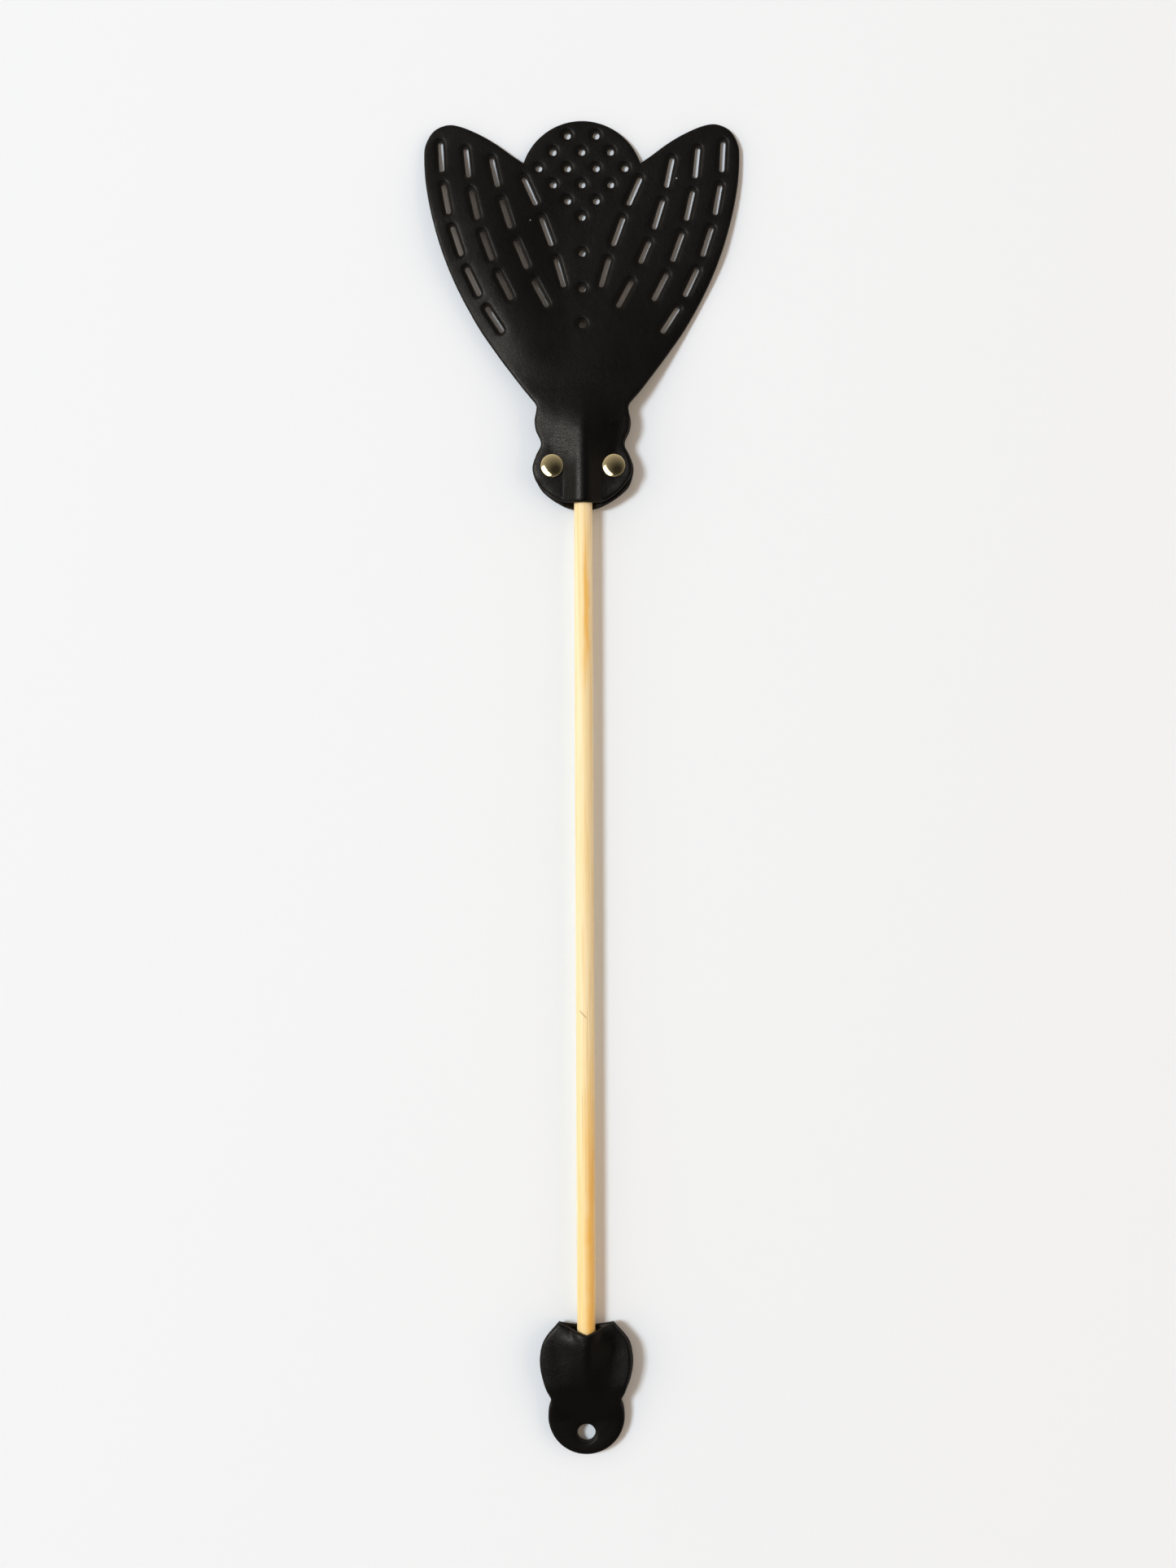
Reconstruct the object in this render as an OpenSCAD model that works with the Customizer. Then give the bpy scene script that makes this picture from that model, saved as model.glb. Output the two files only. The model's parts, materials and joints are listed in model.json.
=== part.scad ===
// Leather fly swatter. A blade of thin leather, cut in the outline of a fly and
// punched full of holes, is riveted through its neck round the end of a wooden
// dowel. A leather tab with a hanging hole closes the other end of the dowel.
//
// Millimetres. X runs across the blade, +Y along the handle towards the blade,
// +Z up from the table. The swatter lies face up with its middle at the origin.

/* [Size] */
// Whole length, from the tip of the blade to the end of the hang tab
overall_len = 440; // [400:5:500]
// Diameter of the wooden dowel
dowel_d = 6; // [5:0.5:7]
// Thickness of one layer of leather
leather_t = 2; // [1.6:0.1:2.4]

/* [Blade] */
// Width of the punched slots
slot_w = 2.4; // [1.6:0.2:3]
// Length of the punched slots, end to end
slot_len = 11; // [8:0.5:12]
// Diameter of the round punched holes
hole_d = 3; // [2:0.25:4]
// Distance between the rows of round holes near the tip
row_pitch = 5.4; // [4.5:0.1:5.6]
// Distance between neighbouring holes within a row
row_spacing = 9.5; // [7:0.25:10]

/* [Neck] */
// Distance of each rivet from the centre line
rivet_x = 10.1; // [9.6:0.1:11]
// Outer diameter of the rivet caps
cap_d = 7.5; // [6.5:0.25:8]
// How far the dowel reaches into the neck, from the lower edge of the leather
neck_grip = 26; // [20:1:26]

/* [Hang tab] */
// Diameter of the hanging hole
hang_d = 6; // [4:0.5:8]
// Height of the hanging hole above the end of the tab
hang_y = 7; // [6.5:0.5:9]

/* [Hidden] */
$fn = 48;

// heights
glue_gap = 0.05;
wrap_r = dowel_d / 2 + glue_gap;      // inside of the leather over the dowel
seam_z = wrap_r + leather_t;          // where the two layers meet, level with the dowel
tip_y = overall_len / 2;
end_y = -overall_len / 2;

// blade outline, measured down from the tip
lobe_r = 20.3;                        // round lobe at the tip
notch_a = 18;                         // angle at which the lobe meets the wings
hinge_drop = 94;                      // flex line
hinge_y = tip_y - hinge_drop;
flex_gap = 1.2;                       // cut between the clamped neck and the blade
neck_end = 127.7;                     // lower edge of the back layer
rivet_y = tip_y - 114.6;

// tab outline, measured up from the end
tab_r = 12.6;                         // round lower lobe
tab_waist = 19;                       // flex line of the tab
tab_hinge_y = end_y + tab_waist;
tab_top = 43.9;
front_notch = 4.3;                    // V in the top edge of the front layer
back_notch = 0.7;
tail_grip_y = end_y + 26;             // lower end of the dowel

// the blade droops from the neck until the wings rest on the table
rest_gap = 0.1;
wing_drop = 2;
droop = asin((seam_z - rest_gap) / (hinge_drop - wing_drop));

// ridge that the leather makes over the dowel
ridge_foot = rivet_x - cap_d / 2 - 0.75;
hip_len = 5.5;
dowel_top_y = tip_y - neck_end + neck_grip;

// rivets, measured from the outer face of the leather
stack_t = 2 * leather_t;
shell_t = 0.3;
rim_h = 0.7;
dome_h = 1.5;
lip_t = 0.2;                          // rolled lip of the cap, under the flange
lip_r = cap_d / 2 - 0.85;
flange_r = cap_d / 2 - 0.55;
flange_z = 0.25;
flange_t = 0.3;
tube_r = 1.75;
stem_r = 1.4;
rivet_fit = 0.05;

wood_c = [0.90, 0.76, 0.50];
leather_c = [0.11, 0.10, 0.10];
brass_c = [0.80, 0.62, 0.25];

// the right edge of the wing, from the notch beside the lobe down to the thorax
wing_edge = [
  [22.5, 11.9], [28.5, 7.5], [34, 4.3], [40, 1.8], [44.6, 1.3], [49, 3.4],
  [51.6, 7.9], [52.05, 12.5], [51.5, 21], [49.6, 31.5], [46.2, 43.5], [41.2, 55.5],
  [34.7, 67.6], [27.5, 78.3], [19.6, 89.1]
];
// the thorax and the sides of the head
body_edge = [
  [15.4, 94.3], [15.1, 96.6], [15.6, 99.5], [15.2, 103], [13.6, 107.2], [15.2, 111],
  [16.4, 115.2]
];
// the round bottom of the head, cut higher on the front layer
head_front = [[15.2, 119.2], [11.2, 121.9], [6.2, 124.8], [3.2, 125.7]];
head_back = [[15.4, 119.2], [12.2, 123], [7.1, 126.3], [3.4, 127.5]];

// the right edge of the hang tab, from its top corner to its waist
tab_edge = [[8.85, 43.9], [13.6, 38.4], [15, 33], [14.8, 28], [13.4, 22.6], [11.7, 19.2]];

// columns of slots on the right wing: first slot, heading in degrees, turn per slot, count
slot_columns = [
  [46.5, 11.8, 3, 7.5, 5],
  [37.9, 13.8, 6, 7, 4],
  [28.9, 17, 12, 5.5, 4],
  [17.3, 23.2, 24, -4, 3]
];
slot_pitch = 14.4;
hole_rows = [2, 3, 4, 3, 2, 1];
first_row = 4.8;
spine_holes = 3;
spine_pitch = 12;

// ---- curves ----

// a point on a smooth curve that passes through b and c
function curve(a, b, c, d, t) =
  (2 * b + (c - a) * t + (2 * a - 5 * b + 4 * c - d) * t * t
    + (3 * b - a - 3 * c + d) * t * t * t) / 2;

// a smooth curve through every point of p
function smooth(p, steps = 4) = [
  for (i = [0:len(p) - 2])
    for (s = [0:steps - 1])
      curve(p[max(i - 1, 0)], p[i], p[i + 1], p[min(i + 2, len(p) - 1)], s / steps),
  p[len(p) - 1]
];

function arc(r, from, to, steps) = [
  for (i = [0:steps])
    let (a = from + (to - from) * i / steps)
      [r * cos(a), r * sin(a)]
];

// a half outline and its mirror image, as one closed outline
function both_sides(half) = concat(
  half,
  [for (i = [len(half) - 1:-1:0]) [-half[i][0], half[i][1]]]
);

function down_from_tip(p) = [for (q = p) [q[0], tip_y - q[1]]];
function up_from_end(p) = [for (q = p) [q[0], end_y + q[1]]];

// ---- leather outlines ----

module fly_outline(head) {
  lobe = [for (q = arc(lobe_r, 89, notch_a, 14)) [q[0], tip_y - lobe_r + q[1]]];
  edge = down_from_tip(smooth(concat(wing_edge, body_edge, head)));
  polygon(both_sides(concat(lobe, edge)));
}

module band(y0, y1) {
  translate([-100, y0])
    square([200, y1 - y0]);
}

module neck_outline(head) {
  difference() {
    intersection() {
      fly_outline(head);
      band(tip_y - neck_end - 1, hinge_y - flex_gap / 2);
    }
    for (side = [-1, 1])
      translate([side * rivet_x, rivet_y])
        circle(r = tube_r + rivet_fit);
  }
}

// the tab, with a V of the given depth in its top edge
module tab_outline(notch) {
  edge = up_from_end(smooth(tab_edge));
  lobe = [for (q = arc(tab_r, 20, -89, 16)) [q[0], end_y + tab_r + q[1]]];
  polygon(concat([[0, end_y + tab_top - notch]], both_sides(concat(edge, lobe))));
}

module slot(w, l) {
  for (s = [-1, 1])
    translate([0, s * (l - w) / 2])
      circle(d = w);
  square([w, l - w], center = true);
}

function heading(c, i) = c[2] + c[3] * i;

// place of slot i of a column: every step runs along the mean of two headings
function slot_at(c, i) = i == 0 ? [c[0], c[1]] :
  slot_at(c, i - 1)
    + slot_pitch * [-sin(heading(c, i - 0.5)), cos(heading(c, i - 0.5))];

module slots() {
  for (c = slot_columns)
    for (i = [0:c[4] - 1])
      for (side = [-1, 1]) {
        at = slot_at(c, i);
        translate([side * at[0], tip_y - at[1]])
          rotate(-side * heading(c, i))
            slot(slot_w, slot_len);
      }
}

module round_holes() {
  for (r = [0:len(hole_rows) - 1])
    for (i = [0:hole_rows[r] - 1])
      translate([(i - (hole_rows[r] - 1) / 2) * row_spacing, tip_y - first_row - r * row_pitch])
        circle(d = hole_d);
  for (i = [1:spine_holes])
    translate([0, tip_y - first_row - 5 * row_pitch - i * spine_pitch])
      circle(d = hole_d);
}

// ---- ridge over the dowel ----

// cross section of a tent of leather over a round bar of radius r, up to its own foot
function tent(r, lift) =
  let (
    a = acos(wrap_r / ridge_foot),
    foot = (r - lift * sin(a)) / cos(a)
  )
  concat([[foot, lift]], arc(r, a, 180 - a, 15), [[-foot, lift]]);

// a tent from y0 to y1 that then slopes down to nothing at y2
module tent_solid(r, lift, y0, y1, y2) {
  hull() {
    for (y = [y0, y1])
      translate([0, y, 0])
        rotate([90, 0, 0])
          linear_extrude(0.01)
            polygon(tent(r, lift));
    translate([-ridge_foot, y2, lift - 0.01])
      cube([2 * ridge_foot, 0.01, 0.01]);
  }
}

// one leather layer of the given outline, standing on the seam, that wraps the
// end of the dowel: its ridge runs from y0 to y1 and slopes down to y2
module layer(y0, y1, y2) {
  past = y0 - 5 * sign(y1 - y0);
  difference() {
    intersection() {
      union() {
        translate([-50, min(past, y2) - 10, 0])
          cube([100, abs(past - y2) + 20, leather_t]);
        tent_solid(wrap_r + leather_t, leather_t, past, y1, y2);
      }
      linear_extrude(3 * wrap_r)
        children();
    }
    tent_solid(wrap_r, 0, past - sign(y1 - y0), y1, y2);
  }
}

module neck_layer(head) {
  layer(tip_y - neck_end, dowel_top_y, dowel_top_y + hip_len)
    neck_outline(head);
}

module tail_layer(notch) {
  layer(end_y + tab_top, tail_grip_y, tail_grip_y - hip_len)
    intersection() {
      tab_outline(notch);
      band(tab_hinge_y + flex_gap / 2, end_y + tab_top + 1);
    }
}

// ---- sub-parts ----

module handle_dowel() {
  color(wood_c)
    translate([0, dowel_top_y, seam_z])
      rotate([90, 0, 0])
        cylinder(d = dowel_d, h = dowel_top_y - tail_grip_y, $fn = 96);
}

module neck_front() {
  color(leather_c)
    translate([0, 0, seam_z])
      neck_layer(head_front);
}

module neck_back() {
  color(leather_c)
    translate([0, 0, seam_z])
      mirror([0, 0, 1])
        neck_layer(head_back);
}

module blade() {
  color(leather_c)
    translate([0, hinge_y, seam_z])
      rotate([-droop, 0, 0])
        translate([0, -hinge_y, 0])
          linear_extrude(leather_t)
            difference() {
              intersection() {
                fly_outline(head_front);
                band(hinge_y + flex_gap / 2, tip_y + 1);
              }
              slots();
              round_holes();
            }
}

module tail_front() {
  color(leather_c)
    translate([0, 0, seam_z])
      tail_layer(front_notch);
}

module tail_back() {
  color(leather_c)
    translate([0, 0, seam_z])
      mirror([0, 0, 1])
        tail_layer(back_notch);
}

module tab_layer(z) {
  color(leather_c)
    translate([0, 0, z])
      linear_extrude(leather_t)
        difference() {
          intersection() {
            tab_outline(back_notch);
            band(end_y - 1, tab_hinge_y - flex_gap / 2);
          }
          translate([0, end_y + hang_y])
            circle(d = hang_d);
        }
}

module tab_front() {
  tab_layer(seam_z);
}

module tab_back() {
  tab_layer(seam_z - leather_t);
}

// rivet pieces stand on the outer face of the leather, with +Z away from it

// half section of a shallow dome of the given edge radius, whose crown is at height z
function dome(edge_r, z, steps) =
  let (
    rise = dome_h - rim_h,
    r = (pow(cap_d / 2, 2) + rise * rise) / (2 * rise)
  )
  [for (i = [0:steps]) let (a = asin(edge_r / r) * i / steps)
    [r * sin(a), z - r + r * cos(a)]];

function reversed(p) = [for (i = [len(p) - 1:-1:0]) p[i]];

// domed shell whose lip is rolled in under the flange of the post or socket
module cap() {
  rim_r = cap_d / 2;
  wall_r = rim_r - shell_t;
  lip = [[rim_r, 0], [lip_r, 0], [lip_r, lip_t], [wall_r, lip_t]];
  outside = dome(rim_r, dome_h, 5);
  inside = reversed(dome(wall_r, dome_h - shell_t, 4));
  color(brass_c)
    rotate_extrude()
      polygon(concat(outside, lip, inside));
}

module post() {
  top = flange_z + flange_t;
  end = -stack_t - 0.1;
  color(brass_c)
    rotate_extrude()
      polygon([[0, top], [flange_r, top], [flange_r, flange_z], [stem_r, flange_z],
        [stem_r, end + 0.3], [stem_r - 0.4, end], [0, end]]);
}

module socket() {
  top = flange_z + flange_t;
  bore_r = stem_r + rivet_fit;
  end = -stack_t + 0.1;
  color(brass_c)
    rotate_extrude()
      polygon([[0, top], [flange_r, top], [flange_r, flange_z], [tube_r, flange_z],
        [tube_r, end], [bore_r, end], [bore_r, 0.3], [0, 0.3]]);
}

module on_front(side) {
  translate([side * rivet_x, rivet_y, seam_z + leather_t])
    children();
}

module on_back(side) {
  translate([side * rivet_x, rivet_y, seam_z - leather_t])
    mirror([0, 0, 1])
      children();
}

handle_dowel();
neck_front();
neck_back();
blade();
tail_front();
tail_back();
tab_front();
tab_back();
on_front(-1) cap();  // rivet_left_front_cap
on_front(-1) post();  // rivet_left_post
on_back(-1) socket();  // rivet_left_socket
on_back(-1) cap();  // rivet_left_back_cap
on_front(1) cap();  // rivet_right_front_cap
on_front(1) post();  // rivet_right_post
on_back(1) socket();  // rivet_right_socket
on_back(1) cap();  // rivet_right_back_cap
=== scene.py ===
import json
import math

import bmesh
import bpy
import numpy as np
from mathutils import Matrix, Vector, noise
from mathutils.geometry import delaunay_2d_cdt

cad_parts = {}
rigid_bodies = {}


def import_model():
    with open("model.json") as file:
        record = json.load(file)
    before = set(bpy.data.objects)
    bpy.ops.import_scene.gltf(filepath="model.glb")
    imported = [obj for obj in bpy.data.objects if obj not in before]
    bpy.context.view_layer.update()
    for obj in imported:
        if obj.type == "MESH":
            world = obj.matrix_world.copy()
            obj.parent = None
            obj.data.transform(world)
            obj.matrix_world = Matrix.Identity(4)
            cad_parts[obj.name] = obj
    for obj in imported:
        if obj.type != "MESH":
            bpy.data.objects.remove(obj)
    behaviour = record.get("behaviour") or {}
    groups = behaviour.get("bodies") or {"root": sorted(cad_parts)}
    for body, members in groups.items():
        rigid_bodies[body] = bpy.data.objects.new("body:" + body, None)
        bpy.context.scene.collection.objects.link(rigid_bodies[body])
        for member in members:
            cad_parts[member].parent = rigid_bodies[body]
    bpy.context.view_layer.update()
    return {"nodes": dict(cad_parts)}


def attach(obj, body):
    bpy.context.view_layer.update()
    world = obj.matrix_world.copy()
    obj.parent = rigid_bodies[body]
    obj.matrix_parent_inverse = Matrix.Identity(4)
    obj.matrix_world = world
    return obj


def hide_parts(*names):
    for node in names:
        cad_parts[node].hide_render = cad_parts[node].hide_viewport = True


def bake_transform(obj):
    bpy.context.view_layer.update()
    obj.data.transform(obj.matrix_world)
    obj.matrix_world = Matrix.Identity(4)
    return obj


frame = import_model()

# All shapes below are worked out in millimetres in the row's frame and scaled on the way into Blender.
MM = 0.001
LEATHER = 2.0
WRAP_R = 3.05
SEAM = WRAP_R + LEATHER
TIP = 220.0
END = -220.0
RIVET_X, RIVET_Y = 10.1, 105.4
RIVET_HOLE_R = 1.85
HANG_HOLE_R = 3.0
HANG_HOLE_UP = 7
DOWEL_TOP, DOWEL_END = 118.3, -194.0
# How deep the V in the top edge of each tail sheet is.
FRONT_NOTCH, BACK_NOTCH = 3.5, 2.0


# ---------------------------------------------------------------- curves

def smoothstep(a, b, x):
    t = np.clip((np.asarray(x, float) - a) / (b - a), 0, 1)
    return t * t * (3 - 2 * t)


def through(points, steps=14):
    """A smooth curve through every point."""
    p = np.asarray(points, float)
    p = np.vstack([p[0], p, p[-1]])
    out = []
    for a, b, c, d in zip(p[:-3], p[1:-2], p[2:-1], p[3:]):
        for s in range(steps):
            t = s / steps
            out.append(0.5 * (2 * b + (c - a) * t + (2 * a - 5 * b + 4 * c - d) * t * t
                              + (3 * b - a - 3 * c + d) * t ** 3))
    return np.array(out + [p[-1]])


def arc(centre, r, a0, a1, n=40):
    a = np.radians(np.linspace(a0, a1, n))
    return np.column_stack([centre[0] + r * np.cos(a), centre[1] + r * np.sin(a)])


def even(points, step):
    """The same line with its points evenly spaced, ends kept."""
    p = np.asarray(points, float)
    d = np.r_[0, np.cumsum(np.hypot(*np.diff(p, axis=0).T))]
    n = max(2, int(round(d[-1] / step)) + 1)
    s = np.linspace(0, d[-1], n)
    return np.column_stack([np.interp(s, d, p[:, 0]), np.interp(s, d, p[:, 1])])


def closed(right_half, step):
    """The right half's pieces, top to bottom, and their mirror image as one anticlockwise outline."""
    half = [even(right_half[0], step)]
    for piece in right_half[1:]:
        half.append(even(piece, step)[1:])
    half = np.vstack(half)
    left = half[::-1] * [-1, 1]
    if abs(half[-1, 0]) < 1e-6:
        left = left[1:]
    if abs(half[0, 0]) < 1e-6:
        left = left[:-1]
    return np.vstack([half, left])[::-1]


# ---------------------------------------------------------------- outlines and holes

LOBE_R = 20.3
NOTCH = (LOBE_R * math.cos(math.radians(18)), TIP - LOBE_R + LOBE_R * math.sin(math.radians(18)))
WING = [(22.5, 11.9), (28.5, 7.5), (34, 4.3), (40, 1.8), (44.6, 1.3), (49, 3.4), (51.6, 7.9), (52.05, 12.5),
        (51.5, 21), (49.6, 31.5), (46.2, 43.5), (41.2, 55.5), (34.7, 67.6), (27.5, 78.3), (19.6, 89.1)]
BODY = [(15.4, 94.3), (15.1, 96.6), (15.6, 99.5), (15.2, 103), (13.6, 107.2), (15.2, 111), (16.4, 115.2)]
HEAD_FRONT = [(15.3, 119.2), (12.2, 122.8), (7.5, 126.0), (3.6, 126.8), (0, 126.8)]
HEAD_BACK = [(15.5, 119.5), (12.9, 123.4), (8.2, 126.8), (4.0, 128.3), (0, 128.6)]
TAB = [(8.85, 43.9), (13.6, 38.4), (15, 33), (14.8, 28), (13.4, 22.6), (11.7, 19.2)]
TAB_R = 12.6


def from_tip(p):
    return [(x, TIP - y) for x, y in p]


def front_outline(step=0.8):
    lobe = arc((0, TIP - LOBE_R), LOBE_R, 90, 18)
    edge = through([NOTCH] + from_tip(WING + BODY + HEAD_FRONT))
    return closed([lobe, edge], step)


def neck_back_outline(top, step=0.8):
    edge = through(from_tip(WING + BODY + HEAD_BACK))
    edge = edge[edge[:, 1] < top - 0.3]
    edge = np.vstack([[np.interp(top, edge[::-1, 1], edge[::-1, 0]), top], edge])
    return closed([[(0, top), edge[0]], edge], step)


def tail_outline(notch, step=0.7):
    side = through([(x, END + y) for x, y in TAB])
    lobe = arc((0, END + TAB_R), TAB_R, 22, -90)
    top = side[0]
    return closed([[(0, top[1] - notch), top], np.vstack([side, lobe])], step)


def disc(x, y, r, n=26):
    """A round hole as a clockwise loop."""
    a = -np.linspace(0, 2 * np.pi, n, endpoint=False)
    return np.column_stack([x + r * np.cos(a), y + r * np.sin(a)])


def obround(x, y, heading, w=2.4, length=11.0, ends=9, sides=12):
    """A slot as a clockwise loop, turned anticlockwise by heading degrees."""
    h = (length - w) / 2
    top = arc((0, h), w / 2, 180, 0, ends)
    bottom = arc((0, -h), w / 2, 0, -180, ends)
    right = np.column_stack([np.full(sides, w / 2), np.linspace(h, -h, sides + 2)[1:-1]])
    p = np.vstack([top, right, bottom, -right])
    a = math.radians(heading)
    turn = np.array([[math.cos(a), -math.sin(a)], [math.sin(a), math.cos(a)]])
    return p @ turn.T + [x, y]


# Each column of slots: its first slot's place across and from the tip, its lean in degrees, how much the lean
# grows from one slot to the next, and the number of slots.
SLOT_COLUMNS = [(46.5, 11.8, 3, 7.5, 5), (37.9, 13.8, 6, 7, 4),
                (28.9, 17, 12, 5.5, 4), (17.3, 23.2, 24, -4, 3)]
SLOT_PITCH = 14.4
SLOT_LENGTH = 11.0
# The slot that the punch did not cut through at its lower end: side, column, place in the column.
UNCUT_SLOT = (1, 2, 2)
UNCUT_LENGTH = 2.1
# The small round holes of the abdomen lobe, row by row.
HOLE_ROWS = [2, 3, 4, 3, 2, 1]
HOLE_PITCH_X, HOLE_PITCH_Y = 9.5, 5.4
HOLE_R = 1.5


def blade_holes():
    """The slots of both wings, the lobe's round holes, and three more holes in a line below them."""
    holes = []
    for column, (x, y, a, turn, count) in enumerate(SLOT_COLUMNS):
        for i in range(count):
            if i:
                mean = math.radians(a + turn * (i - 0.5))
                x, y = x - SLOT_PITCH * math.sin(mean), y + SLOT_PITCH * math.cos(mean)
            for side in (1, -1):
                uncut = UNCUT_LENGTH if (side, column, i) == UNCUT_SLOT else 0
                lean = math.radians(a + turn * i)
                slot_x = side * (x + uncut / 2 * math.sin(lean))
                slot_y = TIP - y + uncut / 2 * math.cos(lean)
                holes.append(obround(slot_x, slot_y, -side * (a + turn * i), length=SLOT_LENGTH - uncut))
    for r, n in enumerate(HOLE_ROWS):
        for i in range(n):
            holes.append(disc((i - (n - 1) / 2) * HOLE_PITCH_X, TIP - 4.8 - r * HOLE_PITCH_Y, HOLE_R))
    for i in (1, 2, 3):
        holes.append(disc(0, TIP - 31.8 - i * 12, HOLE_R))
    return holes


def rivet_holes():
    return [disc(side * RIVET_X, RIVET_Y, RIVET_HOLE_R) for side in (1, -1)]


def hang_hole():
    return [disc(0, END + HANG_HOLE_UP, HANG_HOLE_R, 40)]


# ---------------------------------------------------------------- how high each layer lies

def tent(x, w, k=3.0):
    """Underside of leather stretched over the dowel, with its foot at w. k sharpens the foot."""
    x, w = np.broadcast_arrays(np.abs(np.asarray(x, float)), np.asarray(w, float))
    a = np.arccos(WRAP_R / w)
    over = np.sqrt(np.clip(WRAP_R ** 2 - x ** 2, 0, None))
    line = (WRAP_R - x * np.cos(a)) / np.sin(a)
    foot = np.log1p(np.exp(np.clip(k * line, -40, 40))) / k
    return np.where(x < WRAP_R * np.cos(a), over + np.maximum(foot - line, 0), foot)


def rough_field(x, y, scale, seed):
    """Smooth random height, the same on each run."""
    return np.array([noise.noise(Vector((a / scale, b / scale, seed))) for a, b in zip(x, y)])


# How far the blade has come down from the seam at each distance along the swatter.
DROP_Y = np.linspace(100, 225, 501)
DROP_SLOPE = smoothstep(119, 142, DROP_Y) * (1 - 0.75 * smoothstep(150, 200, DROP_Y))
DROP = np.cumsum(DROP_SLOPE) * (DROP_Y[1] - DROP_Y[0])
DROP *= (SEAM - 0.25) / np.interp(217, DROP_Y, DROP)

# The wing's outer edge, from its widest point down.
WING_EDGE_Y = [p[1] for p in WING[7:]]
WING_EDGE_X = [p[0] for p in WING[7:]]


def flange_droop(x, y):
    """The riveted flanges' outer edges: the left one hangs down a little, the right one turns up."""
    bend = np.where(x < 0, 0.014, -0.016) * np.clip(np.abs(x) - 10, 0, None) ** 2
    below_rivets = np.where(x < 0, 0.010, -0.013) * np.clip(np.abs(x) - 6, 0, None) ** 2
    below_rivets = below_rivets * (1 - smoothstep(97, 102.5, y))
    return (bend + below_rivets) * (1 - smoothstep(119, 130, y))


def front_height(x, y):
    """Underside of the front leather, in mm above the table."""
    z = SEAM - np.interp(y, DROP_Y, DROP)
    curl = 3.0 * smoothstep(118, 140, y) * (1 - smoothstep(146, 178, y))
    z = z - curl * (np.abs(x) / 34) ** 2
    z = 0.12 + np.log1p(np.exp(np.clip(2.2 * (z - 0.12), -40, 40))) / 2.2
    across = np.clip(np.abs(x) / np.interp(TIP - y, WING_EDGE_Y, WING_EDGE_X), 0, 1)
    raised_left = 2.5 * smoothstep(0.1, 0.72, across) - 0.5 * smoothstep(0.7, 1.05, across)
    raised = np.where(x < 0, raised_left, 0.0)
    z = z + raised * smoothstep(130, 156, y) * (1 - smoothstep(188, 214, y))
    z = z - flange_droop(x, y)
    w = 5.9 + 5.6 * smoothstep(103, 116, y) + 4.5 * smoothstep(115, 124, y)
    fade = 1 - smoothstep(115.5, 134, y)
    z = z + tent(x, w, 7 - 4 * smoothstep(102, 109, y)) * fade
    # Fine puckers where the leather is pulled tight beside the dowel, on the left.
    puckered = np.exp(-((x + 6.8) / 2.6) ** 2 - ((y - 113) / 3.6) ** 2)
    ripple = puckered * np.sin(2 * np.pi * (y + 0.12 * x) / 1.5)
    z = z + 0.022 * ripple
    return z + 0.10 * smoothstep(128, 150, y) * rough_field(x, y, 17, 1.5)


def neck_back_height(x, y):
    """Upper side of the neck's back leather."""
    w = 5.9 + 3 * smoothstep(107, 119, y)
    fade = 1 - smoothstep(118.6, 125, y)
    return SEAM - tent(x, w) * fade - flange_droop(x, y)


def nose(y):
    """The dowel's rounded lower end, as a share of its radius."""
    return 1 - smoothstep(-181.5, -201, y)


def tail_sag(x, y):
    """How far the tail hangs towards its end. Its left edge hangs a little and its right edge turns up."""
    left = 0.012 * np.clip(-x - 8, 0, None) ** 2
    right = -0.016 * np.clip(x - 6.5, 0, None) ** 2
    edge = np.where(x < 0, left, right)
    return 2.7 * smoothstep(-196, -210, y) + edge * smoothstep(-204, -196, y)


def tail_back_height(x, y):
    """Upper side of the tail's back leather."""
    return SEAM - tent(x, 8.0) * nose(y) - tail_sag(x, y)


def tail_front_height(x, y):
    """Underside of the tail's front leather, whose notched edge is pressed down beside the dowel."""
    below = (-179.6 + 3.5 * np.minimum(np.abs(x) / 8.85, 1)) - y
    pressed = 0.8 * np.exp(-(np.clip(below, 0, None) / 2.8) ** 2) * smoothstep(1.8, 5.5, np.abs(x))
    return SEAM + tent(x, 9.5 - 1.5 * smoothstep(-181, -188, y)) * nose(y) * (1 - pressed) - tail_sag(x, y)


# ---------------------------------------------------------------- leather sheets

# Rings round a cut edge: how far in from the outline, and how deep. A punched hole narrows on its way down.
EDGE_TOP = [(0.75, 0.0), (0.45, 0.03), (0.22, 0.12), (0.07, 0.28), (0.0, 0.55)]
EDGE_UNDER = [(0.0, 1.5), (0.07, 1.76), (0.25, 1.93), (0.75, 2.0)]
PUNCH_TOP = [(0.75, 0.0), (0.42, 0.06), (0.2, 0.18), (0.03, 0.38), (-0.14, 0.65), (-0.27, 1.0)]
PUNCH_UNDER = [(-0.38, 1.5), (-0.41, 1.8), (-0.28, 1.95), (0.75, 2.0)]


# Size of the finer mesh, how deep a cut edge's dish is, how far it reaches, and its share on the underside.
FINE_STEP = 0.6
DISH, DISH_REACH, DISH_UNDER = 0.14, 0.9, 0.35


def inset(loop, d):
    """The loop moved by d to its left, which is into the leather."""
    nxt, prv = np.roll(loop, -1, 0) - loop, loop - np.roll(loop, 1, 0)
    nxt /= np.linalg.norm(nxt, axis=1)[:, None]
    prv /= np.linalg.norm(prv, axis=1)[:, None]
    n = np.column_stack([-(nxt + prv)[:, 1], (nxt + prv)[:, 0]])
    n /= np.linalg.norm(n, axis=1)[:, None]
    reach = np.clip(n[:, 0] * -nxt[:, 1] + n[:, 1] * nxt[:, 0], 0.6, 1)
    return loop + n * (d / reach)[:, None]


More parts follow.
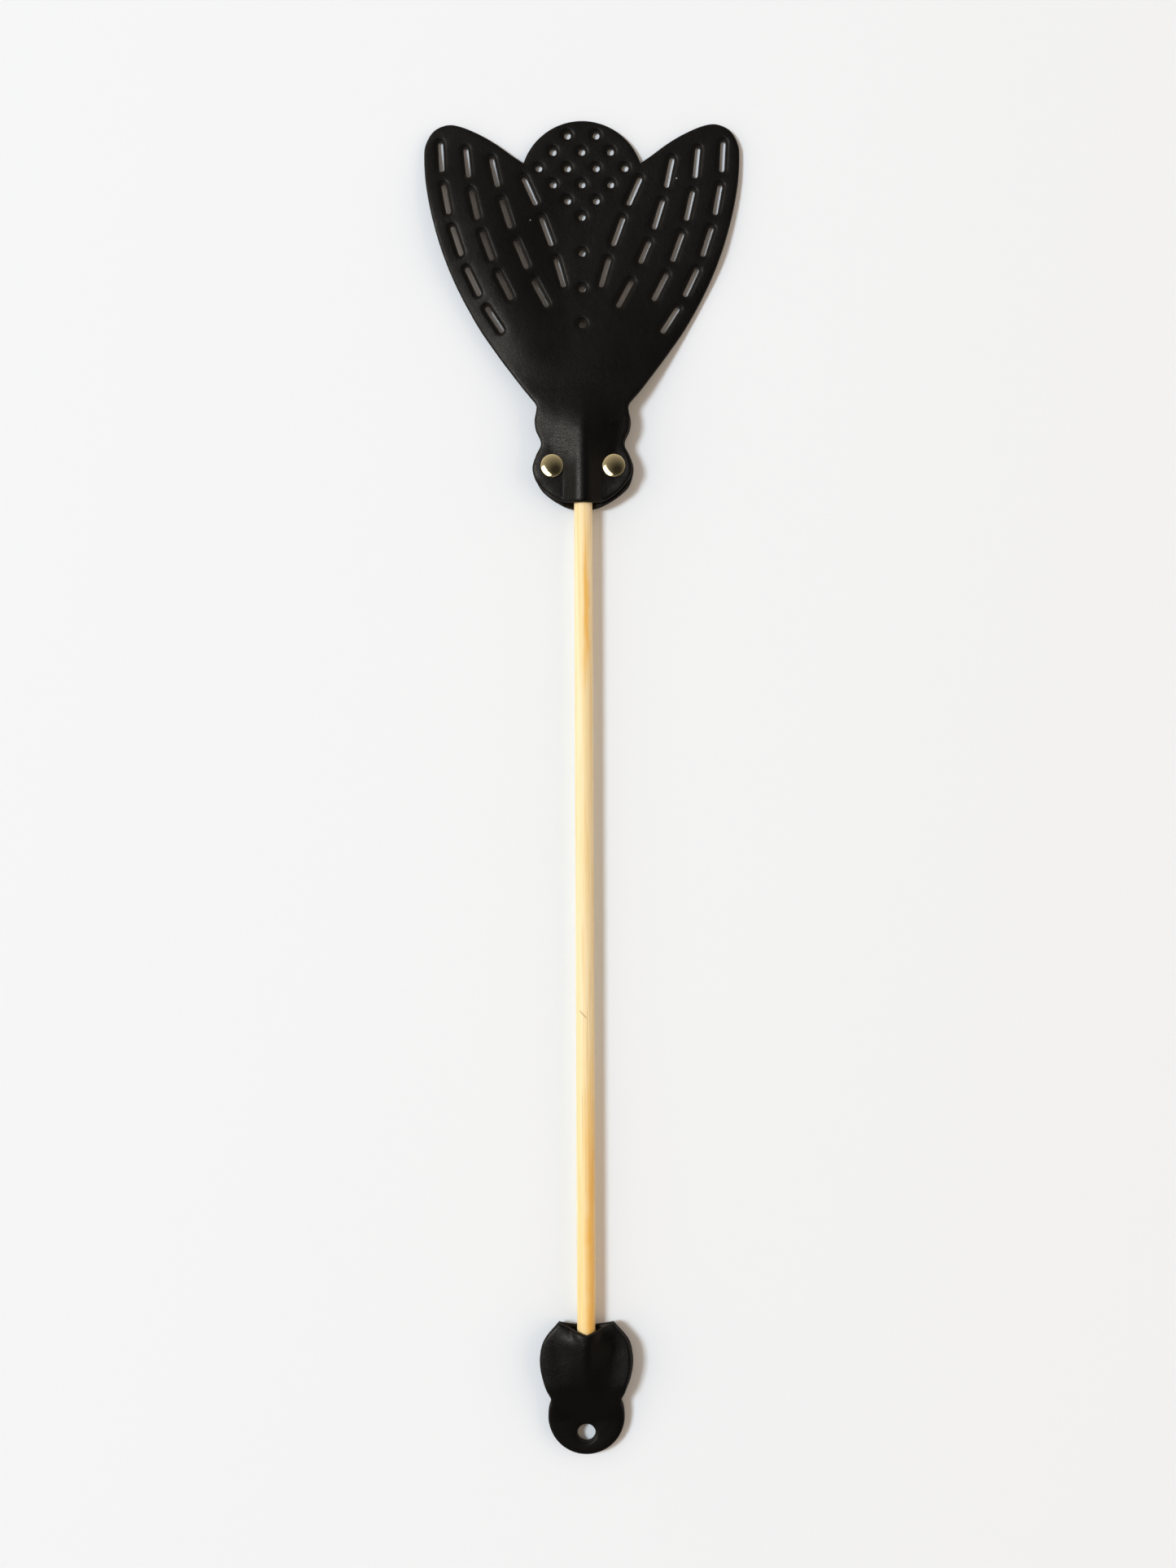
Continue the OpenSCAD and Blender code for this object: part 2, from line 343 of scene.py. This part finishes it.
def inside(points, loop):
    """Which points lie inside the loop."""
    x, y = points[:, 0][:, None], points[:, 1][:, None]
    x0, y0 = loop[:, 0], loop[:, 1]
    x1, y1 = np.roll(x0, -1), np.roll(y0, -1)
    crosses = ((y0 > y) != (y1 > y)) & (x < (x1 - x0) * (y - y0) / (y1 - y0 + 1e-12) + x0)
    return crosses.sum(1) % 2 == 1


def distance(points, loops):
    """Distance from each point to the nearest loop's points."""
    edge = np.vstack(loops)
    out = np.empty(len(points))
    for i in range(0, len(points), 400):
        p = points[i:i + 400]
        out[i:i + 400] = np.sqrt(((p[:, None] - edge[None]) ** 2).sum(2)).min(1)
    return out


def hex_grid(x0, x1, y0, y1, step):
    rows = np.arange(y0, y1, step * 0.866)
    pts = [np.column_stack([np.arange(x0, x1, step) + (step / 2 if i % 2 else 0),
                            np.full(len(np.arange(x0, x1, step)), y)]) for i, y in enumerate(rows)]
    return np.vstack(pts)


def store(me, name, kind, key, values):
    """Keep one value for each point of the mesh, for the materials to read."""
    attribute = me.attributes.new(name, kind, "POINT")
    attribute.data.foreach_set(key, values.astype(np.float32).ravel())


def smooth_piece(name, me):
    """A new object in the scene, shaded smooth."""
    me.shade_smooth()
    o = bpy.data.objects.new(name, me)
    bpy.context.scene.collection.objects.link(o)
    return o


def plan_points(loops, step, fine):
    """Points between the edges: a ring along each edge, then an even grid that is finer in one part."""
    rings = [inset(loop, 1.25) for loop in loops]
    lo, hi = loops[0].min(0), loops[0].max(0)
    grid = hex_grid(lo[0], hi[0], lo[1], hi[1], step)
    x0, x1, y0, y1 = fine
    in_fine = (grid[:, 0] > x0) & (grid[:, 0] < x1) & (grid[:, 1] > y0) & (grid[:, 1] < y1)
    grid = np.vstack([grid[~in_fine], hex_grid(x0, x1, y0, y1, FINE_STEP)])
    points = np.vstack(rings + [grid])
    keep = inside(points, loops[0])
    for hole in loops[1:]:
        keep &= ~inside(points, hole)
    on_rings = int(keep[:sum(len(ring) for ring in rings)].sum())
    points = points[keep]
    wanted = np.where(np.arange(len(points)) < on_rings, 1.15, 1.7)
    return points[distance(points, loops) > wanted]


def triangulate(loops, points):
    """The plan's points and triangles, and which of its points each point of the loops became."""
    edges, start = [], 0
    for loop in loops:
        n = len(loop)
        edges += [(start + i, start + (i + 1) % n) for i in range(n)]
        start += n
    flat = [Vector(p) for p in np.vstack(loops + [points])]
    joined, _, faces, origin, _, _ = delaunay_2d_cdt(flat, edges, [], 2, 1e-5)
    plan = np.array([[p.x, p.y] for p in joined])
    triangles = np.array([f for f in faces if len(f) == 3])
    middle = plan[triangles].mean(1)
    good = inside(middle, loops[0])
    for hole in loops[1:]:
        good &= ~inside(middle, hole)
    became = {old: new for new, olds in enumerate(origin) for old in olds}
    return plan, triangles[good], became


def lift(x, y, level, height, flip):
    """Points of the plan moved off the height's surface by their level, square to it."""
    e = 0.05
    z = height(x, y)
    zx = (height(x + e, y) - height(x - e, y)) / (2 * e)
    zy = (height(x, y + e) - height(x, y - e)) / (2 * e)
    normal = np.column_stack([-zx, -zy, np.ones(len(x))])
    normal /= np.linalg.norm(normal, axis=1)[:, None]
    surface = np.column_stack([x, y, z])
    if flip:
        return surface - normal * level[:, None]
    return surface + normal * level[:, None]


def sheet(name, outline, holes, height, step, fine, flip=False, punched=False):
    """A leather sheet with rounded, slightly dished cut edges.

    height gives the side that lies against the seam, and flip hangs the sheet below it. fine is the part, as
    x0, x1, y0, y1, that has the finer mesh.
    """
    loops = [outline] + holes
    inner = [inset(loop, EDGE_TOP[0][0]) for loop in loops]
    plan, triangles, became = triangulate(inner, plan_points(loops, step, fine))
    verts, wall, punch, polys = [], [], [], []

    def add(points, level, on_wall, in_hole=0.0):
        base = sum(len(v) for v in verts)
        verts.append(np.column_stack([points, level]))
        wall.append(np.broadcast_to(on_wall, len(points)))
        punch.append(np.broadcast_to(in_hole, len(points)))
        return base

    dish = DISH * np.exp(-(distance(plan, loops) / DISH_REACH) ** 2)
    top = add(plan, LEATHER - dish, 0.0)
    under = add(plan, DISH_UNDER * dish, 0.0)
    for a, b, c in triangles:
        if np.cross(plan[b] - plan[a], plan[c] - plan[a]) < 0:
            b, c = c, b
        polys.append((top + a, top + b, top + c))
        polys.append((under + a, under + c, under + b))
    start = 0
    for k, loop in enumerate(loops):
        n = len(loop)
        rim = np.array([became[start + i] for i in range(n)])
        start += n
        rings = [top + rim]
        edge = PUNCH_TOP[1:] + PUNCH_UNDER[:-1] if k > 0 and punched else EDGE_TOP[1:] + EDGE_UNDER[:-1]
        for d, depth in edge:
            ring = inset(loop, d) if d else loop
            dip = DISH * math.exp(-(max(d, 0) / DISH_REACH) ** 2)
            level = LEATHER - depth - dip if depth < 1 else LEATHER - depth + DISH_UNDER * dip
            base = add(ring, np.full(n, level), float(depth > 0.2), float(k > 0 and depth > 0.4))
            rings.append(base + np.arange(n))
        rings.append(under + rim)
        for upper, lower in zip(rings, rings[1:]):
            for i in range(n):
                j = (i + 1) % n
                polys.append((upper[i], lower[i], lower[j], upper[j]))
    x, y, level = np.vstack(verts).T
    polys = [tuple(int(i) for i in f) for f in polys]
    if flip:
        polys = [f[::-1] for f in polys]
    me = bpy.data.meshes.new(name)
    me.from_pydata((lift(x, y, level, height, flip) * MM).tolist(), [], polys)
    me.validate()
    store(me, "cut_edge", "FLOAT", "value", np.concatenate(wall))
    store(me, "punched", "FLOAT", "value", np.concatenate(punch))
    store(me, "rest_place", "FLOAT_VECTOR", "vector", np.column_stack([x, y, level]))
    return smooth_piece(name, me)


def lathe(name, profile, turns, at, axis="Z"):
    """A surface of revolution from (radius, height) points, capped where the radius is 0."""
    bm = bmesh.new()
    rings = []
    for r, h in profile:
        if r < 1e-6:
            rings.append([bm.verts.new((0, 0, h))])
            continue
        angles = [2 * math.pi * i / turns for i in range(turns)]
        rings.append([bm.verts.new((r * math.cos(t), r * math.sin(t), h)) for t in angles])
    for a, b in zip(rings, rings[1:]):
        for i in range(turns):
            j = (i + 1) % turns
            if len(a) == 1:
                bm.faces.new((a[0], b[i], b[j]))
            elif len(b) == 1:
                bm.faces.new((a[i], b[0], a[j]))
            else:
                bm.faces.new((a[i], b[i], b[j], a[j]))
    bmesh.ops.recalc_face_normals(bm, faces=bm.faces)
    me = bpy.data.meshes.new(name)
    bm.to_mesh(me)
    bm.free()
    co = np.zeros(len(me.vertices) * 3, np.float32)
    me.vertices.foreach_get("co", co)
    co = co.reshape(-1, 3)
    if axis == "-Z":
        co[:, [1, 2]] *= -1
    if axis == "Y":
        co = np.column_stack([co[:, 0], co[:, 2], -co[:, 1]])
    co = (co + np.array(at)) * MM
    me.vertices.foreach_set("co", co.astype(np.float32).ravel())
    return smooth_piece(name, me)


def dowel_profile():
    """The dowel's outline from its rounded lower end up. It is nearly straight."""
    profile = [(0, DOWEL_END), (0.8, DOWEL_END)]
    profile += [(2.99 * float(nose(h)) + 0.01 * math.sin(h * 0.37), h)
                for h in np.linspace(DOWEL_END + 0.1, DOWEL_TOP - 1, 260)]
    return profile + [(2.95, DOWEL_TOP - 0.35), (2.6, DOWEL_TOP), (0, DOWEL_TOP)]


def cap_profile(radius=3.75, height=1.5, rim=0.45):
    """A rivet cap's outline: its domed crown, then its rim and the lip under it."""
    crown = []
    for a in np.radians(np.linspace(0, 90, 34)):
        r, h = math.sin(a), math.cos(a)
        crown.append((radius * r, rim + (height - rim) * (0.45 * h + 0.55 * (1 - r * r))))
    return crown + [(radius, 0.12), (radius - 0.06, 0.02), (radius - 0.3, 0), (2.9, 0)]


# ---------------------------------------------------------------- materials

class Nodes:
    """Short helpers for one material's node tree."""

    def __init__(self, name):
        self.material = bpy.data.materials.new(name)
        self.material.use_nodes = True
        self.tree = self.material.node_tree
        self.tree.nodes.clear()
        self.out = self.add("ShaderNodeOutputMaterial")
        self.shader = self.add("ShaderNodeBsdfPrincipled")
        self.link(self.shader, "BSDF", self.out, "Surface")

    def add(self, kind, **values):
        node = self.tree.nodes.new(kind)
        for k, v in values.items():
            setattr(node, k, v)
        return node

    def link(self, a, output, b, socket):
        self.tree.links.new(a.outputs[output], b.inputs[socket])

    def set(self, **values):
        for k, v in values.items():
            self.shader.inputs[k.replace("_", " ")].default_value = v

    def place(self, attribute, scale):
        """Coordinates from a stored attribute, or the object's own, scaled."""
        if attribute:
            source = self.add("ShaderNodeAttribute", attribute_name=attribute)
            key = "Vector"
        else:
            source = self.add("ShaderNodeTexCoord")
            key = "Object"
        m = self.add("ShaderNodeMapping")
        m.inputs["Scale"].default_value = scale
        self.link(source, key, m, "Vector")
        return m

    def noise(self, place, scale, detail=4.0, roughness=0.5, distortion=0.0):
        n = self.add("ShaderNodeTexNoise")
        n.inputs["Scale"].default_value = scale
        n.inputs["Detail"].default_value = detail
        n.inputs["Roughness"].default_value = roughness
        n.inputs["Distortion"].default_value = distortion
        self.link(place, "Vector", n, "Vector")
        return n

    def ramp(self, source, output, stops, smooth=False):
        r = self.add("ShaderNodeValToRGB")
        if smooth:
            r.color_ramp.interpolation = "EASE"
        e = r.color_ramp.elements
        while len(e) < len(stops):
            e.new(0.5)
        for item, (pos, colour) in zip(e, stops):
            item.position = pos
            item.color = (*colour, 1)
        self.link(source, output, r, "Fac")
        return r

    def span(self, source, output, lo, hi, a=0.0, b=1.0):
        m = self.add("ShaderNodeMapRange")
        m.inputs["From Min"].default_value = a
        m.inputs["From Max"].default_value = b
        m.inputs["To Min"].default_value = lo
        m.inputs["To Max"].default_value = hi
        self.link(source, output, m, "Value")
        return m

    def math(self, kind, a, b):
        m = self.add("ShaderNodeMath", operation=kind)
        for i, v in enumerate((a, b)):
            if isinstance(v, tuple):
                self.tree.links.new(v[0].outputs[v[1]], m.inputs[i])
            else:
                m.inputs[i].default_value = v
        return m

    def mix(self, factor, a, b, blend="MIX"):
        m = self.add("ShaderNodeMix", data_type="RGBA", blend_type=blend)
        if isinstance(factor, tuple):
            self.tree.links.new(factor[0].outputs[factor[1]], m.inputs[0])
        else:
            m.inputs[0].default_value = factor
        for i, v in ((6, a), (7, b)):
            if isinstance(v, tuple) and not isinstance(v[0], (int, float)):
                self.tree.links.new(v[0].outputs[v[1]], m.inputs[i])
            else:
                m.inputs[i].default_value = (*v, 1)
        return m

    def spot(self, attribute, centre, radius):
        """1 within radius of a point, softly falling to 0."""
        d = self.add("ShaderNodeVectorMath", operation="DISTANCE")
        self.link(self.place(attribute, (1, 1, 1)), "Vector", d, 0)
        d.inputs[1].default_value = centre
        return self.span(d, "Value", 1.0, 0.0, 0.6 * radius, radius)

    def bump(self, source, output, height_m, previous=None):
        b = self.add("ShaderNodeBump")
        b.inputs["Strength"].default_value = 1.0
        b.inputs["Distance"].default_value = height_m
        self.link(source, output, b, "Height")
        if previous:
            self.link(previous, "Normal", b, "Normal")
        return b


def leather_material():
    m = Nodes("leather_black")
    at = m.place("rest_place", (1, 1, 1))
    wide = m.noise(at, 0.09, 5, 0.6)
    fine = m.noise(at, 1.1, 6, 0.65)
    pores = m.add("ShaderNodeTexVoronoi", feature="DISTANCE_TO_EDGE")
    pores.inputs["Scale"].default_value = 1.35
    bent = m.mix(0.35, (at, "Vector"), (fine, "Color"), "LINEAR_LIGHT")
    m.link(bent, 2, pores, "Vector")
    crease = m.ramp(pores, "Distance", [(0.0, (0, 0, 0)), (0.10, (0.8, 0.8, 0.8)), (0.35, (1, 1, 1))], True)
    base = m.mix((wide, "Fac"), (0.0016, 0.0013, 0.0011), (0.0032, 0.0027, 0.0023))
    fleck = m.noise(at, 2.6, 2, 0.5)
    flecks = m.ramp(fleck, "Fac", [(0.76, (0, 0, 0)), (0.80, (1, 1, 1))])
    speck = m.mix((flecks, "Color"), (base, 2), (0.016, 0.014, 0.012))
    dust = m.math("ADD", (m.spot("rest_place", (31.2, 200.7, 2), 0.30), "Result"),
                  (m.spot("rest_place", (-17.3, 186.7, 2), 0.24), "Result"))
    speck = m.mix((dust, 0), (speck, 2), (0.45, 0.42, 0.38))
    edge = m.add("ShaderNodeAttribute", attribute_name="cut_edge")
    fibre = m.mix((fine, "Fac"), (0.006, 0.005, 0.0045), (0.014, 0.011, 0.009))
    colour = m.mix((edge, "Fac"), (speck, 2), (fibre, 2))
    hole = m.add("ShaderNodeAttribute", attribute_name="punched")
    raw = m.mix((fine, "Fac"), (0.016, 0.013, 0.011), (0.045, 0.037, 0.031))
    colour = m.mix((hole, "Fac"), (colour, 2), (raw, 2))
    m.link(colour, 2, m.shader, "Base Color")
    gloss = m.span(wide, "Fac", 0.36, 0.46, 0.3, 0.7)
    where = m.add("ShaderNodeSeparateXYZ")
    m.link(at, "Vector", where, "Vector")
    pulled = m.span(where, "Y", 0.0, -0.05, 150, 122)
    gloss1 = m.math("ADD", (gloss, "Result"), (pulled, "Result"))
    gloss2 = m.math("ADD", (gloss1, 0), (m.span(crease, "Color", 0.045, -0.01), "Result"))
    rough = m.math("MAXIMUM", (gloss2, 0), (m.span(edge, "Fac", 0.0, 0.75), "Result"))
    m.link(rough, 0, m.shader, "Roughness")
    b1 = m.bump(crease, "Color", 0.000014)
    b2 = m.bump(fine, "Fac", 0.00006, b1)
    b3 = m.bump(wide, "Fac", 0.00025, b2)
    pucker = m.noise(m.place("rest_place", (0.45, 2.6, 1)), 1.0, 2, 0.5)
    pulled_tight = m.spot("rest_place", (-6.5, 113, 2), 8.0)
    b4 = m.bump(m.math("MULTIPLY", (pucker, "Fac"), (pulled_tight, "Result")), 0, 0.00008, b3)
    m.link(b4, "Normal", m.shader, "Normal")
    m.set(Specular_IOR_Level=0.20, Specular_Tint=(1.0, 0.87, 0.76, 1))
    return m.material


def pine_material():
    m = Nodes("pine_bare")
    at = m.place(None, (1000, 1000, 1000))
    streak = m.noise(m.place(None, (1000, 22, 1000)), 0.9, 4, 0.5, 0.25)
    thin = m.noise(m.place(None, (1000, 9, 1000)), 2.3, 3, 0.6)
    tone = m.ramp(streak, "Fac", [(0.30, (0.83, 0.63, 0.30)), (0.46, (0.86, 0.70, 0.40)),
                                  (0.64, (0.87, 0.74, 0.48))], True)
    line = m.ramp(thin, "Fac", [(0.30, (0.80, 0.62, 0.42)), (0.44, (1, 1, 1))], True)
    grained = m.mix(0.75, (tone, "Color"), (line, "Color"), "MULTIPLY")

    # Resin colour and painted shade: an orange resin streak near the head, a longer orange streak towards the
    # tail that lies on the shaded right half and is partly painted shade, and a warmer tail end.
    where = m.add("ShaderNodeSeparateXYZ")
    m.link(at, "Vector", where, "Vector")
    sway = m.noise(m.place(None, (60, 45, 60)), 1.0, 3, 0.6)
    across = m.math("ADD", (where, "X"), (m.span(sway, "Fac", -0.6, 0.6, 0.3, 0.7), "Result"))

    def band(centre, half, y0, y1, y2, y3):
        off = m.math("ABSOLUTE", (m.math("SUBTRACT", (across, 0), centre), 0), 0)
        side = m.span(off, 0, 1.0, 0.0, 0.1 * half, half)
        rise = m.span(where, "Y", 0.0, 1.0, y0, y1)
        fall = m.span(where, "Y", 1.0, 0.0, y2, y3)
        length = m.math("MULTIPLY", (rise, "Result"), (fall, "Result"))
        return m.math("MULTIPLY", (length, 0), (side, "Result"))

    upper = band(0.75, 1.5, 30, 50, 66, 92)
    # The longer streak sits on the dowel's right half, the side away from the key light. It is partly painted
    # shade and darkens that side towards orange, as well as being a streak in the wood.
    lower = band(1.6, 2.3, -84, -128, -196, -210)
    lower = m.math("MULTIPLY", (lower, 0), (m.span(sway, "Fac", 0.75, 1.0, 0.35, 0.6), "Result"))
    streaks_and_shade = m.math("MAXIMUM", (upper, 0), (lower, 0))
    streaked_and_shaded = m.mix((m.math("MULTIPLY", (streaks_and_shade, 0), 0.85), 0), (grained, 2), (0.82, 0.46, 0.07))
    tail = m.span(where, "Y", 0.0, 1.0, -70, -172)
    warm = m.mix((tail, "Result"), (1, 1, 1), (0.99, 0.92, 0.74))
    warmed = m.mix(1.0, (streaked_and_shaded, 2), (warm, 2), "MULTIPLY")

    # One slanting scratch on the upper side.
    turned = m.add("ShaderNodeVectorRotate", rotation_type="Z_AXIS")
    turned.inputs["Center"].default_value = (-0.6, -74.6, 0)
    turned.inputs["Angle"].default_value = math.radians(46)
    m.link(at, "Vector", turned, "Vector")
    local = m.add("ShaderNodeSeparateXYZ")
    m.link(turned, "Vector", local, "Vector")
    along = m.math("ABSOLUTE", (m.math("SUBTRACT", (local, "X"), -0.6), 0), 0)
    aside = m.math("ABSOLUTE", (m.math("SUBTRACT", (local, "Y"), -74.6), 0), 0)
    scratch = m.math("MULTIPLY", (m.span(along, 0, 1.0, 0.0, 1.2, 2.1), "Result"),
                     (m.span(aside, 0, 1.0, 0.0, 0.08, 0.24), "Result"))
    top = m.span(where, "Z", 0.0, 1.0, 5.5, 6.5)
    scratch = m.math("MULTIPLY", (scratch, 0), (top, "Result"))
    final = m.mix((m.math("MULTIPLY", (scratch, 0), 0.65), 0), (warmed, 2), (0.42, 0.24, 0.08))
    m.link(final, 2, m.shader, "Base Color")
    rough = m.span(thin, "Fac", 0.46, 0.62, 0.3, 0.7)
    m.link(rough, "Result", m.shader, "Roughness")
    b = m.bump(thin, "Fac", 0.00006)
    b = m.bump(streak, "Fac", 0.00008, b)
    b = m.bump(m.math("MULTIPLY", (scratch, 0), -1.0), 0, 0.00012, b)
    m.link(b, "Normal", m.shader, "Normal")
    m.set(Specular_IOR_Level=0.3)
    return m.material


def brass_material():
    m = Nodes("brass_polished")
    at = m.place(None, (1000, 1000, 1000))
    smear = m.noise(at, 0.55, 4, 0.6)
    colour = m.mix((smear, "Fac"), (0.76, 0.64, 0.34), (0.84, 0.74, 0.45))
    m.link(colour, 2, m.shader, "Base Color")
    rough = m.span(smear, "Fac", 0.06, 0.12, 0.3, 0.7)
    m.link(rough, "Result", m.shader, "Roughness")
    scratch = m.noise(m.place(None, (9000, 900, 900)), 1.0, 2, 0.5)
    b = m.bump(scratch, "Fac", 0.000006)
    m.link(b, "Normal", m.shader, "Normal")
    m.set(Metallic=1.0)
    return m.material


leather = leather_material()
pine = pine_material()
brass = brass_material()


# ---------------------------------------------------------------- pieces

front = sheet("front_leather", front_outline(), blade_holes() + rivet_holes(), front_height, 1.5,
              fine=(-14, 14, 90, 138), punched=True)
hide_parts("neck_front", "blade")

back = sheet("neck_back_leather", neck_back_outline(125.3), rivet_holes(), neck_back_height, 1.2,
             fine=(-9, 9, 91, 126), flip=True)
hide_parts("neck_back")

tail_f = sheet("tail_front_leather", tail_outline(FRONT_NOTCH), hang_hole(), tail_front_height, 1.2,
               fine=(-13, 13, -202, -175))
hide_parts("tail_front", "tab_front")
tail_b = sheet("tail_back_leather", tail_outline(BACK_NOTCH), hang_hole(), tail_back_height, 1.2,
               fine=(-13, 13, -202, -175), flip=True)
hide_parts("tail_back", "tab_back")
for o in (front, back, tail_f, tail_b):
    o.data.materials.append(leather)

dowel = lathe("handle_dowel_pine", dowel_profile(), 72, (0, 0, SEAM), "Y")
dowel.data.materials.append(pine)
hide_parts("handle_dowel")
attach(dowel, "handle")
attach(back, "handle")

for side, x in (("left", -RIVET_X), ("right", RIVET_X)):
    for face, z, axis in (("front", SEAM + LEATHER, "Z"), ("back", SEAM - LEATHER, "-Z")):
        cap = lathe(f"rivet_{side}_{face}_dome", cap_profile(), 96, (x, RIVET_Y, z), axis)
        cap.data.materials.append(brass)
        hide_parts(f"rivet_{side}_{face}_cap")
        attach(cap, "handle")
    for piece in ("post", "socket"):
        node = frame["nodes"][f"rivet_{side}_{piece}"]
        node.data.materials.clear()
        node.data.materials.append(brass)

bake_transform(front)
for o in (tail_f, tail_b):
    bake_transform(o)


# ---------------------------------------------------------------- floor, light, camera

floor_me = bpy.data.meshes.new("floor")
floor_me.from_pydata([(-4, -4, 0), (4, -4, 0), (4, 4, 0), (-4, 4, 0)], [], [(0, 1, 2, 3)])
floor = bpy.data.objects.new("floor", floor_me)
bpy.context.scene.collection.objects.link(floor)
floor_paint = Nodes("floor_pale")
floor_paint.set(Base_Color=(0.805, 0.850, 0.912, 1), Roughness=0.95, Specular_IOR_Level=0.0)
floor_me.materials.append(floor_paint.material)


def softbox(name, at, size, power, colour):
    """A rectangular light that faces the middle of the swatter."""
    light = bpy.data.lights.new(name, "AREA")
    light.shape = "RECTANGLE"
    light.size, light.size_y = size
    light.energy = power
    light.color = colour
    o = bpy.data.objects.new(name, light)
    o.location = at
    o.rotation_euler = (Vector((0, 0, 0)) - Vector(at)).to_track_quat("-Z", "Y").to_euler()
    bpy.context.scene.collection.objects.link(o)
    return o


def keep_from(light, *names):
    """The named objects take no light from this one."""
    kept = bpy.data.collections.new(light.name + "_kept_out")
    for o in bpy.data.objects:
        if any(n in o.name for n in names):
            kept.objects.link(o)
    for member in kept.collection_objects:
        member.light_linking.link_state = "EXCLUDE"
    light.light_linking.receiver_collection = kept


# A key high on the left casts the shadows and lights everything but the rivet caps. Warm fills from both
# sides and from above light the floor and the wood. A wide window low on the left, towards the tail end,
# shows in the rivets, and a wall on the right shows faintly in the leather.
key = softbox("key", (-3.3, 0.66, 5.05), (1.35, 1.35), 252, (0.84, 0.94, 1.0))
keep_from(key, "_dome")
FILLS = (("fill_right", (3.4, 0, 2.1), 62),
         ("fill_left", (-3.4, 0, 2.1), 40),
         ("fill_above", (0, 0, 3.2), 24))
for fill_name, at, power in FILLS:
    fill = softbox(fill_name, at, (5.0, 3.0), power, (1.0, 0.75, 0.53))
    keep_from(fill, "_dome", "leather")
card = softbox("window_card", (-3.23, -2.26, 3.08), (6.0, 4.4), 300, (1.0, 0.98, 0.96))
keep_from(card, "floor", "handle_dowel", "leather")
wall = softbox("wall_glow", (3.4, -0.9, 2.0), (5.0, 3.0), 20, (1.0, 0.95, 0.90))
keep_from(wall, "floor", "handle_dowel", "_dome")

# The room: dark overhead and a little towards the right and the tail end, light and warm low down all round.
world = bpy.data.worlds.new("studio")
world.use_nodes = True
world_tree = world.node_tree
sky = world_tree.nodes.new("ShaderNodeTexCoord")
tilt = world_tree.nodes.new("ShaderNodeVectorMath")
tilt.operation = "DOT_PRODUCT"
tilt.inputs[1].default_value = (0.28, -0.24, 0.93)
fall = world_tree.nodes.new("ShaderNodeMapRange")
world_tree.links.new(sky.outputs["Generated"], tilt.inputs[0])
world_tree.links.new(tilt.outputs["Value"], fall.inputs["Value"])
for socket, value in (("From Min", 0.97), ("From Max", -0.05), ("To Min", 0.03), ("To Max", 0.66)):
    fall.inputs[socket].default_value = value
world_tree.links.new(fall.outputs["Result"], world_tree.nodes["Background"].inputs["Strength"])
world_tree.nodes["Background"].inputs["Color"].default_value = (1.0, 0.92, 0.85, 1)
bpy.context.scene.world = world
bpy.context.scene.view_settings.view_transform = "Standard"

cam = bpy.data.cameras.new("camera")
cam.sensor_width = 36
cam.lens = 50
cam_object = bpy.data.objects.new("camera", cam)
# The picture's height, and the level above the table at which it is measured, in metres.
FIELD = 0.517
FIELD_LEVEL = 0.0035
cam_object.location = (0.00126, 0.0009, FIELD * cam.lens / cam.sensor_width + FIELD_LEVEL)
cam_object.rotation_euler = (0, 0, -0.00377)
cam.clip_start, cam.clip_end = 0.01, 20
bpy.context.scene.collection.objects.link(cam_object)
bpy.context.scene.camera = cam_object
